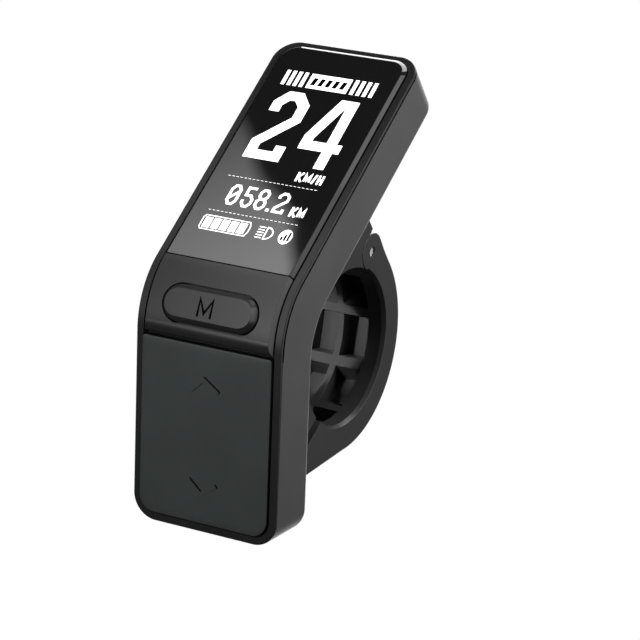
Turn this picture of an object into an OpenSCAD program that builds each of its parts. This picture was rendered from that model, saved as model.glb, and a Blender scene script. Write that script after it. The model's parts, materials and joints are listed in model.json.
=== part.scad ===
// Handlebar display for an electric bike.
// A bent housing holds a screen, a mode button and a rocker key. A hinged ring
// behind it clamps round the handlebar.
// The origin is the centre of the clamp bore. X runs along the handlebar, Y
// points to the rear and Z up. Lengths are in millimetres, angles in degrees.
//
// Three local frames are used for the pieces of the housing. In each, X is the
// same, Y is the depth below the rim's front face and Z runs up the front.

/* [Housing] */
// Width of the housing
body_w = 32; // [31:0.1:36]
// Height of the lower limb, from its bottom end to the corner of the bend
lower_len = 46.1; // [46:0.1:50]
// Length of the upper limb, from the corner of the bend to its top end
upper_len = 64.7; // [64.5:0.1:70]
// Angle between the two limbs, from straight
lean = 52; // [50:0.5:54]
// Depth of the lower limb
lower_depth = 11.6; // [11.4:0.1:13]
// Depth of the upper limb
upper_depth = 11.2; // [11:0.1:13]
// Radius of the bend at the front
bend_r = 17; // [16.5:0.1:18]
// Radius of the bend at the rear
rear_bend_r = 14; // [11:0.5:16]
// Radius of the housing's corners, seen from the front
corner_r = 5; // [4.5:0.1:6]
// Wall of the rear shell
wall = 1.5; // [1.3:0.1:1.8]
// Depth at which the rear shell starts behind the rim
seam_d = 0.75; // [0.7:0.05:0.9]
// Wall of the rear shell beside the bezel's skirt
lip_t = 0.8; // [0.7:0.05:0.9]
// Depth of the step that the case seal lies on
step_d = 2.3; // [2.2:0.05:2.6]

/* [Bezel] */
// Width of the rim seen round the lens and the keys
rim_w = 1.55; // [1.5:0.05:1.8]
// Thickness of the rim
rim_t = 0.5; // [0.4:0.05:0.6]
// Depth of the floor under the lens
floor_d = 0.75; // [0.7:0.05:0.9]
// Depth of the bezel's rear face
bezel_d = 1.9; // [1.8:0.05:2.1]
// Depth of the floor under the rocker key
well_d = 1.4; // [1.3:0.05:1.6]
// Depth of the rear face of the rocker's floor
well_back_d = 2.6; // [2.5:0.05:2.8]
// Radius of the bosses that take the case screws
boss_r = 2; // [1.8:0.1:2.2]

/* [Lens and mode panel] */
// Height of the lens and the mode panel above the rim
face_rise = 0.93; // [0.6:0.01:1.2]
// Width of the bright chamfer round the lens
face_chamfer = 0.55; // [0.4:0.05:0.7]
// Thickness of the lens below the rim's front face
lens_seat_d = 0.6; // [0.5:0.05:0.65]
// Line left between the lens and the mode panel
panel_line = 0.2; // [0.15:0.05:0.3]

/* [Mode button] */
// Bend angle at which the mode button sits
mode_angle = 22; // [20:0.5:25]
// Distance from the housing's side to the mode button
mode_side = 5.5; // [5.5:0.1:7]
// Height of the mode button where it leaves the panel
mode_h = 7.5; // [6.5:0.1:8]
// Height of the button's face above the panel
mode_rise = 1.2; // [0.8:0.1:1.5]
// Width of the taper round the button's face
mode_taper = 0.8; // [0.5:0.1:1]
// Travel of the mode button
mode_travel = 0.3; // [0.2:0.05:0.35]

/* [Rocker key] */
// Gap between the rocker key's upper end and the start of the bend
rocker_end = 0.51; // [0.4:0.01:0.8]
// Height of the rocker's face above the rim
rocker_rise = 0.8; // [0.5:0.05:1]
// Depth of the rocker plate's underside
rocker_under_d = 0.8; // [0.6:0.05:0.85]
// Width of the soft chamfer round the rocker's face
rocker_soft_w = 1.2; // [0.8:0.1:1.6]
// Drop of that chamfer
rocker_soft_h = 0.25; // [0.15:0.05:0.4]
// Radius of the rocker's lower corners
rocker_corner_r = 3.3; // [2.5:0.1:3.5]
// Radius of the rocker's upper corners
rocker_top_r = 0.6; // [0.4:0.1:1]
// Diameter of the rocker's pin
rocker_pin_d = 1.5; // [1.2:0.1:1.6]
// Distance from the rocker's pin to each of its posts
rocker_arm = 11.5; // [9:0.5:12]
// Tilt of the rocker each way
rocker_tilt = 1.3; // [0.8:0.1:1.4]
// Raised height of the chevrons on the rocker
chevron_t = 0.08; // [0.05:0.01:0.15]

/* [Boards and display] */
// Distance from the housing's side to the display panel
panel_side = 3.8; // [3.6:0.1:5]
// Start of the display panel along the upper limb
panel_s0 = 10.4; // [10.2:0.1:11]
// Distance from the display panel to the housing's top end
panel_end = 7.9; // [7.7:0.1:9.7]
// Thickness of the display panel
panel_t = 1.2; // [1:0.05:1.25]
// Thickness of the backlight
backlight_t = 1.35; // [1.1:0.05:1.4]
// Wall of the display carrier
carrier_t = 0.8; // [0.6:0.1:1]
// Thickness of the circuit boards
board_t = 1; // [0.8:0.1:1.2]
// Height of a tactile switch body
switch_h = 1.8; // [1.6:0.1:1.9]
// Width of a tactile switch body
switch_w = 4.5; // [4:0.1:5]
// Radius of a switch plunger
plunger_r = 0.9; // [0.7:0.05:1]

/* [Handlebar clamp] */
// Diameter of the handlebar that the clamp fits
bar_d = 31.8; // [31.4:0.1:32]
// Width of the clamp along the handlebar
ring_w = 20.8; // [20:0.1:22]
// Radial thickness of the strap
strap_t = 5.8; // [5.6:0.1:6.2]
// Distance from the bore's centre to the lower limb's rear face
bar_to_lower = 23.3; // [23:0.1:25]
// Distance from the bore's centre to the upper limb's rear face
bar_to_upper = 22.8; // [22.5:0.1:24]
// Length of the chamfer at the mouth of the bore
mouth_len = 0.9; // [0.5:0.1:1.2]
// Radial width of that chamfer
mouth_w = 0.4; // [0.2:0.1:0.6]
// Radius of the hinge knuckles
knuckle_r = 3.85; // [3.6:0.05:4]
// Distance from the bore's centre to the hinge pin
pin_reach = 19.66; // [19.5:0.02:20]
// Direction of the hinge pin from the bore's centre
pin_angle = 62.6; // [60:0.2:64]
// Diameter of the hinge pin
pin_d = 2; // [1.6:0.1:2.4]
// Depth of the pin's ends below the knuckle's faces
pin_recess = 0.45; // [0.2:0.05:0.8]
// Width of the knuckle on the fixed jaw
ear_w = 10; // [8:0.5:12]
// Direction of the slit, away from the bore
slit_angle = 216.2; // [214:0.2:219]
// Distance from the bore's centre down to the middle of the slit
slit_drop = 4.1; // [3.8:0.1:4.4]
// Width of the slit
slit_w = 2.2; // [1.6:0.1:2.6]
// Length of the strap's end block along the slit
block_len = 11.4; // [10.5:0.1:12]

/* [Clamp inner ribs] */
// Width of the smooth lip at each side of the bore
lip_w = 4.05; // [3.5:0.05:4.5]
// Depth of the ribs' tops below the lips
rib_drop = 0.25; // [0.1:0.05:0.4]
// Width of the rib round the middle of the strap
mid_rib_w = 1.4; // [1:0.1:2]
// Angle between the ribs across the strap
rib_pitch = 38.4; // [36:0.2:40]
// Direction of the first rib across the strap
rib_angle = 8.4; // [6:0.2:10]
// Width of the ribs across the strap
rib_w = 2.1; // [1.5:0.1:3]
// Thickness of the strap's skin behind the pockets
skin_t = 1.5; // [1.2:0.1:2]

/* [Screws] */
// Radius of the clamp screw's shank
clamp_screw_r = 1.5; // [1.3:0.05:1.6]
// Length of the clamp screw under its head
clamp_screw_len = 12; // [11:0.1:12.2]
// Distance from the hinge pin to the clamp screw's axis
screw_reach = 39.98; // [39.8:0.02:40.2]
// Direction from the hinge pin to the middle of the insert
screw_angle = 229; // [228.5:0.1:229.5]
// Length of the threaded insert
insert_len = 4; // [3:0.1:4]
// Outer radius of the threaded insert
insert_r = 2.25; // [2.1:0.05:2.4]
// Shank radius of the case screws
case_screw_r = 0.95; // [0.8:0.05:1]
// Length of the case screws under the head
case_screw_len = 6; // [4:0.5:6]
// Shank radius of the small board screws
board_screw_r = 0.75; // [0.6:0.05:0.8]
// Shank radius of the screws that hold the clamp base
base_screw_r = 1.45; // [1.3:0.05:1.5]
// Length of the screws that hold the clamp base, under the head
base_screw_len = 6; // [5:0.2:6]

/* [Cable inlet] */
// Radius of the cable bore in the grommet
cable_r = 2.1; // [1.5:0.1:2.2]
// Radius of the grommet's neck
neck_r = 2.8; // [2.6:0.1:2.9]
// Radius of the grommet's flanges
flange_r = 3.3; // [3.2:0.05:3.4]
// Thickness of the grommet's flanges
flange_t = 0.8; // [0.6:0.1:1]
// Depth of the cable inlet's centre
inlet_d = 6.6; // [6.4:0.1:6.8]

/* [Hidden] */
$fn = 72;

// Clearances
slide_gap = 0.15;
key_gap = 0.25;
touch_gap = 0.05;
thread_gap = 0.02;
run_gap = 0.05;
insert_gap = 0.12;
hole_gap = 0.2;
seat_gap = 0.4;
part_gap = 0.2;
// Overrun of every cut, and a length that reaches past the whole part
over = 0.5;
reach = 2 * upper_len;
// How far a round stands past the flats that it blends, so that they cross
blend = 0.01;

// Places of the housing's planes
front_y = -(bar_to_lower + lower_depth);
apex_z = (bar_to_upper + upper_depth + front_y * cos(lean)) / sin(lean);
bottom_z = apex_z - lower_len;
bend_c = [front_y + bend_r, apex_z - bend_r * tan(lean / 2)];
bend_start = lower_len - bend_r * tan(lean / 2);
bend_end = bend_r * tan(lean / 2);

// Values of the bezel, lens and panel
skirt_inset = lip_t + slide_gap;
lens_inset = rim_w + part_gap;
lens_face_inset = lens_inset + face_chamfer;
lens_s0 = bend_end + panel_line / 2;
panel_angle_gap = 0.4;
panel_roll_r = 1.2;
mode_post_in = 1.8;
mode_w = body_w - 2 * mode_side;
mode_flange_in = 2.5;
mode_flange_w = mode_w - 2 * mode_flange_in;
mode_flange_t = 0.9;
mode_flange_over = 0.7;
mode_flange_d = 1.45;
mode_under_d = mode_flange_d + mode_flange_t;
mode_post_x = mode_w / 2 + mode_post_in;
mode_post_r = 1.35;
mode_plunger_show = 1.05;
mode_switch_d = mode_under_d + mode_plunger_show;
mode_board_d = mode_switch_d + switch_h;
mode_board_side = 2.4;
mode_board_w = body_w - 2 * mode_board_side;
mode_board_h = 7;

// Values of the rocker
rocker_w = body_w - 2 * (rim_w + key_gap);
rocker_z0 = rim_w + key_gap + part_gap;
rocker_z1 = bend_start - rocker_end;
rocker_mid = (rocker_z0 + rocker_z1) / 2;
rocker_pin_depth = 2.2;
lug_in = 6;
lug_x = rocker_w / 2 - lug_in;
lug_t = 2;
lug_h = 2.8;
pin_boss_t = 2;
pin_boss_x = lug_x + lug_t / 2 + seat_gap + pin_boss_t / 2;
pin_wall = 0.35;
pin_boss_r = rocker_pin_d / 2 + pin_wall;
rocker_pin_len = 2 * (pin_boss_x + pin_boss_t / 2);
rocker_post_r = 1.2;
plunger_top_d = 2.2;
key_switch_d = well_back_d + part_gap;
switch_board_d = key_switch_d + switch_h;
board_side = 3.4;
board_end_gap = 1.8;
switch_board_w = body_w - 2 * board_side;
switch_board_z0 = 7.6;
switch_board_z1 = bend_start - board_end_gap;

// Values of the display stack
panel_w = body_w - 2 * panel_side;
panel_s1 = upper_len - panel_end;
panel_d = floor_d + touch_gap;
backlight_d = panel_d + panel_t;
carrier_d = backlight_d + backlight_t;
carrier_back_d = carrier_d + carrier_t;
carrier_w = panel_w + 2 * (part_gap + carrier_t);
stand_h = 0.7;
main_board_d = carrier_back_d + stand_h;
board_inset = 0.9;
main_board_w = body_w - 2 * (board_side - part_gap);
main_board_s0 = panel_s0 + board_inset;
main_board_s1 = panel_s1 - board_inset;
main_back_d = main_board_d + board_t;
switch_back_d = switch_board_d + board_t;
flex_t = 0.12;
panel_ledge = 1.6;
flex_w = 8;
flex_d = 7;
display_flex_w = 10;

// Places of the screws, from the sizes of what they hold
case_boss_in = 1.1;
case_screw_x = body_w / 2 - wall - corner_r + boss_r - part_gap;
case_screw_in = wall + boss_r + case_boss_in;
screw_side = 2;
screw_end = 3;
screw_top = 2.2;
main_screw_x = main_board_w / 2 - screw_side;
main_screw_s = [main_board_s0 + screw_end, main_board_s1 - screw_end];
switch_screw_x = switch_board_w / 2 - screw_side;
switch_screw_z = [switch_board_z0 + screw_end, switch_board_z1 - screw_top];
base_screw_x = 6;
base_screw_drop = 12;
base_screw_z = lower_len - base_screw_drop;
base_screw_s = 26.5;
head_ratio = 2;

// Values of the clamp
bar_r = bar_d / 2;
ring_r = bar_r + strap_t;
pin_c = pin_reach * [cos(pin_angle), sin(pin_angle)];
slit_dir = [cos(slit_angle), sin(slit_angle)];
slit_up = [sin(slit_angle), -cos(slit_angle)];
outer_angle = pin_angle - acos((ring_r - knuckle_r) / pin_reach);
sole_angle = -85.4;
block_start = sqrt(bar_r * bar_r - pow(slit_drop + slit_w / 2, 2));
screw_axis_angle = screw_angle - 90;
insert_c = pin_c + screw_reach * [cos(screw_angle), sin(screw_angle)];
tip_show = 1;
screw_tip = insert_len / 2 + tip_show;
screw_seat = clamp_screw_len - screw_tip;
head_r = clamp_screw_r * 1.83;
head_h = clamp_screw_r * 2;
key_r = clamp_screw_r * 0.83;

// Points in the side view, as [y, z]
function lower_pt(d, z) = [front_y + d, bottom_z + z];
function upper_pt(d, s) = [front_y + s * sin(lean) + d * cos(lean),
    apex_z + s * cos(lean) - d * sin(lean)];
function apex(d) = [front_y + d, apex_z - d * tan(lean / 2)];
function rear_corner(e) = upper_pt(upper_depth - e,
    (lower_depth - e - (upper_depth - e) * cos(lean)) / sin(lean));
function polar(r, a) = r * [cos(a), sin(a)];

// Local frames
module at_lower() translate([0, front_y, bottom_z]) children();
module at_upper() translate([0, front_y, apex_z]) rotate([-lean, 0, 0]) children();
module at_mode() translate([0, bend_c.x, bend_c.y]) rotate([-mode_angle, 0, 0])
    translate([0, -bend_r, 0]) children();
// A frame whose Z runs up the clamp screw's axis, from the middle of the insert
module at_screw() translate([0, insert_c.x, insert_c.y]) rotate([screw_axis_angle - 90, 0, 0])
    children();

// Simple solids in the local frames
module along_x(w) rotate([90, 0, 90]) translate([0, 0, -w / 2]) linear_extrude(w) children();
module slab(w, d0, d1, z0, z1) translate([-w / 2, d0, z0]) cube([w, d1 - d0, z1 - z0]);
module rod(r, d0, d1) translate([0, d0, 0]) rotate([-90, 0, 0]) cylinder(h = d1 - d0, r = r);
module pin_x(r, x0, x1) translate([x0, 0, 0]) rotate([0, 90, 0]) cylinder(h = x1 - x0, r = r);
module both_sides() {
    children();
    mirror([1, 0, 0]) children();
}
// A flat outline with two corner radii, lower and upper
module rounded(w, h, r_low, r_top) {
    for (side = [-1, 1]) {
        translate([side * (w / 2 - r_low), r_low]) circle(r_low);
        translate([side * (w / 2 - r_top), h - r_top]) circle(r_top);
    }
    translate([-w / 2, r_low]) square([w, h - r_low - r_top]);
    translate([-w / 2 + r_low, 0]) square([w - 2 * r_low, h / 2]);
    translate([-w / 2 + r_top, h / 2]) square([w - 2 * r_top, h / 2]);
}
// A rounded plate between two depths and two heights
module plate(w, d0, d1, z0, z1, r_low, r_top) translate([0, d1, z0]) rotate([90, 0, 0])
    linear_extrude(d1 - d0) rounded(w, z1 - z0, r_low, r_top);
// A pill lying across the housing
module pill(w, h, d0, d1) plate(w, d0, d1, -h / 2, h / 2, h / 2 - over / 100, h / 2 - over / 100);

// The side view's regions: behind the front surface at a depth, in front of the
// rear surface at an inset, and between the two ends at an inset
module behind(d) difference() {
    intersection() {
        translate([front_y + d, -reach]) square([2 * reach, 2 * reach]);
        translate([front_y, apex_z]) rotate(-lean) translate([d, -reach])
            square([2 * reach, 2 * reach]);
    }
    difference() {
        polygon([apex(d - over), [front_y + d - over, bend_c.y], bend_c,
            bend_c + (bend_r - d + over) * [-cos(lean), sin(lean)]]);
        translate(bend_c) circle(bend_r - d + blend, $fn = 2 * $fn);
    }
}
module ahead(e) {
    c = rear_corner(-rear_bend_r);
    k = rear_corner(e);
    translate([k.x - reach, -reach]) square([reach, 2 * reach]);
    translate([front_y, apex_z]) rotate(-lean) translate([upper_depth - e - reach, -reach])
        square([reach, 2 * reach]);
    difference() {
        polygon([rear_corner(e + over), [k.x - over, c.y], c,
            c + (rear_bend_r + e + over) * [-cos(lean), sin(lean)]]);
        translate(c) circle(rear_bend_r + e + blend, $fn = 2 * $fn);
    }
}
module ends(inset) intersection() {
    translate([-reach, bottom_z + inset]) square([2 * reach, 2 * reach]);
    translate([front_y, apex_z]) rotate(-lean) translate([-reach, upper_len - inset - 2 * reach])
        square([2 * reach, 2 * reach]);
}
// Rounds off a corner at the origin whose body lies towards -X and +Z
module corner_prism(r) rotate([90, 0, 0]) translate([0, 0, -reach]) linear_extrude(2 * reach)
    difference() {
        translate([-r, -over]) square([r + over, r + over]);
        translate([-r, r]) circle(r + blend);
    }
module corner_cuts(inset, r) both_sides() {
    at_lower() translate([body_w / 2 - inset, 0, inset]) corner_prism(r);
    at_upper() translate([body_w / 2 - inset, 0, upper_len - inset]) mirror([0, 0, 1])
        corner_prism(r);
}
// A sheet that follows the front surface between two depths
module band(w, d0, d1, z0, s1) along_x(w) intersection() {
    difference() {
        behind(d0);
        behind(d1);
    }
    translate([-reach, bottom_z + z0]) square([2 * reach, 2 * reach]);
    translate([front_y, apex_z]) rotate(-lean) translate([-reach, s1 - 2 * reach])
        square([2 * reach, 2 * reach]);
}
module sheet(d0, d1, inset) difference() {
    band(body_w - 2 * inset, d0, d1, inset, upper_len - inset);
    corner_cuts(inset, corner_r - inset);
}
// The housing's inside, out past the front
module cavity(inset) difference() {
    along_x(body_w - 2 * inset) intersection() {
        behind(-over);
        ahead(inset);
        ends(inset);
    }
    corner_cuts(inset, corner_r - inset);
}
// Places children at the four case screws, at the rear face
module at_case_screws() both_sides() {
    at_lower() translate([case_screw_x, lower_depth, case_screw_in]) children();
    at_upper() translate([case_screw_x, upper_depth, upper_len - case_screw_in]) children();
}
// Places children at the four clamp base screws, at the rear face
module at_base_screws() both_sides() {
    at_lower() translate([base_screw_x, lower_depth, base_screw_z]) children();
    at_upper() translate([base_screw_x, upper_depth, base_screw_s]) children();
}

// Housing
case_pad_extra = 1.7;
case_sink_extra = 0.3;
case_pad_t = wall + case_pad_extra;
case_sink = wall + case_sink_extra;
seam_end = 1;
module rear_shell() color("#4e4e4e") difference() {
    union() {
        difference() {
            along_x(body_w) intersection() {
                union() {
                    behind(seam_d);
                    // Below the bend the shell meets the rim
                    intersection() {
                        behind(rim_t);
                        translate([-reach, bend_c.y - seam_end - reach]) square([2 * reach, reach]);
                    }
                }
                ahead(0);
                ends(0);
            }
            corner_cuts(0, corner_r);
            cavity(wall);
            sheet(-over, step_d, lip_t);
        }
        at_case_screws() rod(boss_r + part_gap, -case_pad_t, -wall / 2);
    }
    at_case_screws() {
        rod(case_screw_r + hole_gap, -reach / 4, over);
        rod(case_screw_r * head_ratio + hole_gap, -case_sink, over);
    }
    at_base_screws() rod(base_screw_r + hole_gap, -2 * wall, over);
    at_lower() translate([0, inlet_d, -over]) cylinder(h = wall + 2 * over, r = neck_r);
}

module front_bezel() color("#262626") difference() {
    union() {
        difference() {
            union() {
                sheet(0, rim_t, 0);
                sheet(rim_t - over / 2, bezel_d, skirt_inset);
            }
            sheet(-over, floor_d, rim_w);
        }
        at_lower() plate(rocker_w + 2 * key_gap - part_gap, well_d, well_back_d, rim_w, bend_start,
            corner_r - rim_w, rocker_top_r);
        at_lower() both_sides() translate([pin_boss_x - pin_boss_t / 2, 0, rocker_mid - pin_boss_r])
            cube([pin_boss_t, rocker_pin_depth + pin_boss_r, 2 * pin_boss_r]);
        at_lower() both_sides() for (z = switch_screw_z)
            translate([switch_screw_x, 0, z]) rod(board_screw_r * head_ratio, well_d, switch_board_d);
        both_sides() at_lower() translate([case_screw_x, 0, case_screw_in])
            rod(boss_r, well_d, lower_depth - case_pad_t - touch_gap);
        both_sides() at_upper() translate([case_screw_x, 0, upper_len - case_screw_in])
            rod(boss_r, floor_d, upper_depth - case_pad_t - touch_gap);
        both_sides() at_mode() translate([mode_post_x, 0, 0]) rod(mode_post_r, bezel_d / 2, mode_board_d);
    }
    // Rocker well, its post holes, lug slots and pin bore
    at_lower() plate(rocker_w + 2 * key_gap - part_gap, -over, rocker_under_d + part_gap / 2,
        rim_w + part_gap / 2, bend_start, corner_r - rim_w, rocker_top_r);
    at_lower() difference() {
        plate(rocker_w + 2 * key_gap - part_gap, 0, well_d, rim_w + part_gap / 2, bend_start,
            corner_r - rim_w, rocker_top_r);
        both_sides() translate([pin_boss_x - pin_boss_t / 2, 0, rocker_mid - pin_boss_r])
            cube([pin_boss_t, well_d, 2 * pin_boss_r]);
    }
    at_lower() for (side = [-1, 1]) translate([0, 0, rocker_mid + side * rocker_arm])
        rod(rocker_post_r + seat_gap, 0, reach);
    at_lower() both_sides() translate([lug_x, 0, 0]) slab(lug_t + 2 * part_gap, 0, reach,
        rocker_mid - lug_h / 2 - seat_gap, rocker_mid + lug_h / 2 + seat_gap);
    at_lower() translate([0, rocker_pin_depth, rocker_mid])
        pin_x(rocker_pin_d / 2 + thread_gap, -rocker_pin_len / 2, rocker_pin_len / 2);
    // Mode button opening, display window and screw pilots
    at_mode() pill(mode_w + 2 * seat_gap, mode_h + 2 * seat_gap, -over, mode_board_d / 2 + bezel_d / 2);
    at_mode() slab(mode_flange_w + 2 * seat_gap, 0, mode_board_d,
        -mode_h / 2 - mode_flange_over - seat_gap, mode_h / 2 + mode_flange_over + seat_gap);
    at_mode() both_sides() translate([mode_post_x, 0, 0])
        rod(board_screw_r + thread_gap, bezel_d + part_gap, mode_board_d + over);
    at_upper() slab(panel_w + 2 * part_gap, -over, bezel_d + over,
        panel_s0 - part_gap, panel_s1 + part_gap);
    at_lower() both_sides() for (z = switch_screw_z) translate([switch_screw_x, 0, z])
        rod(board_screw_r + thread_gap, well_back_d - part_gap, switch_board_d + over);
    at_case_screws() rod(case_screw_r + thread_gap, -case_sink - case_screw_len - part_gap, over);
}

module case_seal() color("#1a1a1a") difference() {
    sheet(bezel_d, step_d, skirt_inset);
    sheet(bezel_d - over, step_d + over, wall);
}

module case_screws() color("#6b6b6b") at_case_screws() difference() {
    union() {
        rod(case_screw_r, -case_sink - case_screw_len, -case_sink);
        rod(case_screw_r * head_ratio, -case_sink, -case_sink + case_screw_r * 1.3);
    }
    rod(case_screw_r * 0.8, -case_sink + case_screw_r * 0.5, over);
}

module cable_grommet() color("#202020") at_lower() translate([0, inlet_d, 0]) difference() {
    union() {
        translate([0, 0, -flange_t]) cylinder(h = flange_t, r = flange_r);
        cylinder(h = wall, r = neck_r);
        translate([0, 0, wall]) cylinder(h = flange_t, r = flange_r);
    }
    translate([0, 0, -flange_t - over]) cylinder(h = wall + 2 * flange_t + 2 * over, r = cable_r);
}

// Lens and display
module display_lens() color("#161616") at_upper() hull() {
    plate(body_w - 2 * lens_inset, 0, lens_seat_d, lens_s0, upper_len - lens_inset,
        rocker_top_r / 2, corner_r - lens_inset, $fn = 32);
    plate(body_w - 2 * lens_face_inset, -face_rise, 0, lens_s0, upper_len - lens_face_inset,
        rocker_top_r / 2, corner_r - lens_face_inset, $fn = 32);
}

module lens_tape() color("#101010") at_upper() difference() {
    plate(body_w - 2 * lens_inset, lens_seat_d, floor_d, lens_s0, upper_len - lens_inset,
        rocker_top_r / 2, corner_r - lens_inset);
    slab(panel_w + 2 * part_gap, 0, reach, panel_s0 - part_gap, panel_s1 + part_gap);
}

module display_panel() color("#20262a") at_upper()
    slab(panel_w, panel_d, backlight_d, panel_s0, panel_s1);

module backlight() color("#e8e8e0") at_upper()
    slab(panel_w - part_gap, backlight_d, carrier_d, panel_s0 + panel_ledge, panel_s1 - part_gap);

module display_carrier() color("#d8d8d4") at_upper() difference() {
    union() {
        slab(carrier_w, bezel_d, carrier_back_d, panel_s0 - carrier_t - part_gap,
            panel_s1 + carrier_t + part_gap);
        both_sides() for (s = main_screw_s) translate([main_screw_x, 0, s])
            rod(board_screw_r * head_ratio, carrier_d, main_board_d);
    }
    slab(panel_w + 2 * part_gap, 0, carrier_d, panel_s0 - part_gap, panel_s1 + part_gap);
    slab(display_flex_w + 2 * part_gap, 0, reach, 0, panel_s0 + part_gap);
    both_sides() for (s = main_screw_s) translate([main_screw_x, 0, s])
        rod(board_screw_r + thread_gap, carrier_d + part_gap, main_board_d + over);
}

module display_flex() color("#b5762a") at_upper() {
    slab(display_flex_w, backlight_d, backlight_d + flex_t, panel_s0 - carrier_t - 2 * part_gap,
        panel_s0 + panel_ledge - part_gap);
    slab(display_flex_w, backlight_d, main_board_d, panel_s0 - carrier_t - 2 * part_gap - flex_t,
        panel_s0 - carrier_t - 2 * part_gap);
    slab(display_flex_w, main_board_d - flex_t, main_board_d, panel_s0 - carrier_t - 2 * part_gap,
        main_board_s0 + 2 * board_t);
}

// Main board and what it carries
module main_board() color("#1f5a36") at_upper() difference() {
    slab(main_board_w, main_board_d, main_back_d, main_board_s0, main_board_s1);
    both_sides() for (s = main_screw_s) translate([main_screw_x, 0, s])
        rod(board_screw_r + hole_gap, 0, reach);
}
chip_w = 7;
chip_t = 0.9;
radio_w = 11;
radio_len = 13;
radio_t = 1.6;
module processor() color("#15171a") at_upper()
    slab(chip_w, main_back_d, main_back_d + chip_t, panel_s0 + chip_w, panel_s0 + 2 * chip_w);
module wireless_module() color("#a8adb2") at_upper()
    slab(radio_w, main_back_d, main_back_d + radio_t, main_screw_s[1] - radio_len - tip_show,
        main_screw_s[1] - tip_show);
coil_w = 4;
coil_t = 1.6;
cap_r = 1.3;
cap_t = 1.5;
module power_parts() color("#3b3d40") at_upper() {
    translate([chip_w, 0, 0]) slab(coil_w, main_back_d, main_back_d + coil_t,
        panel_s0 + chip_w, panel_s0 + chip_w + coil_w);
    for (n = [0, 1]) translate([-chip_w, 0, panel_s0 + chip_w + cap_r + n * 3 * cap_r])
        rod(cap_r, main_back_d, main_back_d + cap_t);
}
module small_screw(d) {
    rod(board_screw_r, d - 1.6 * board_t, d);
    difference() {
        rod(board_screw_r * 1.9, d, d + board_screw_r * 1.2);
        rod(board_screw_r * 0.8, d + board_screw_r * 0.6, d + over + board_screw_r * 1.2);
    }
}
module main_board_screws() color("#8a8d90") at_upper() both_sides() for (s = main_screw_s)
    translate([main_screw_x, 0, s]) small_screw(main_back_d);

// Ribbon between the boards, following the bend
module link_flex() color("#b5762a") band(flex_w, flex_d, flex_d + flex_t,
    switch_board_z1 - 2 * board_t, main_board_s0 + 2 * board_t);
socket_h = 2.5;
module flex_sockets() color("#d9cfb4") {
    at_lower() slab(flex_w + 2 * part_gap, switch_back_d, flex_d,
        switch_board_z1 - socket_h, switch_board_z1);
    at_upper() slab(flex_w + 2 * part_gap, main_back_d, flex_d,
        main_board_s0, main_board_s0 + socket_h);
    at_mode() slab(flex_w + 2 * part_gap, mode_board_d + board_t, flex_d - touch_gap,
        -socket_h / 2, socket_h / 2);
}

// Mode panel on the bend, its button and the switch behind it
panel_back_r = bend_r - floor_d + touch_gap;
module mode_panel() color("#464646") difference() {
    translate([0, bend_c.x, bend_c.y]) rotate([90, 0, 90]) rotate([0, 0, 180 - lean + panel_angle_gap])
        rotate_extrude(angle = lean - 2 * panel_angle_gap, $fn = 2 * $fn)
            polygon([
                [panel_back_r, -body_w / 2 + lens_inset],
                [bend_r, -body_w / 2 + lens_inset],
                [bend_r + face_rise, -body_w / 2 + lens_face_inset],
                [bend_r + face_rise, body_w / 2 - lens_face_inset],
                [bend_r, body_w / 2 - lens_inset],
                [panel_back_r, body_w / 2 - lens_inset]]);
    at_mode() pill(mode_w + 2 * slide_gap, mode_h + 2 * slide_gap, -reach / 2, reach / 2);
    // The lower edge is rolled inwards above the rocker
    translate([0, front_y - face_rise, bend_c.y + bend_r * sin(panel_angle_gap)]) along_x(body_w)
        difference() {
            translate([-over, -over]) square([panel_roll_r + over, panel_roll_r + over]);
            translate([panel_roll_r, panel_roll_r]) circle(panel_roll_r + blend);
        }
}
module mode_button() color("#484848") at_mode() {
    hull() {
        pill(mode_w, mode_h, -face_rise, 0, $fn = 32);
        pill(mode_w - 2 * mode_taper, mode_h - 2 * mode_taper, -face_rise - mode_rise,
            -face_rise, $fn = 32);
    }
    pill(mode_w, mode_h, -over / 10, mode_under_d);
    slab(mode_flange_w, mode_flange_d, mode_under_d, -mode_h / 2 - mode_flange_over,
        mode_h / 2 + mode_flange_over);
}
plunger_len = 1.3;
module mode_plunger() color("#c9b27c") at_mode() rod(plunger_r, mode_under_d, mode_under_d + plunger_len);
module switch_case(d) difference() {
    slab(switch_w, d, d + switch_h, -switch_w / 2, switch_w / 2);
    rod(plunger_r + slide_gap, d - over, d + switch_h * 0.6);
}
module mode_switch() color("#2a2a2a") at_mode() switch_case(mode_switch_d);
module mode_board() color("#1f5a36") at_mode() difference() {
    slab(mode_board_w, mode_board_d, mode_board_d + board_t, -mode_board_h / 2, mode_board_h / 2);
    both_sides() translate([mode_post_x, 0, 0]) rod(board_screw_r + hole_gap, 0, reach);
}
module mode_board_screws() color("#8a8d90") at_mode() both_sides()
    translate([mode_post_x, 0, 0]) small_screw(mode_board_d + board_t);

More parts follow.
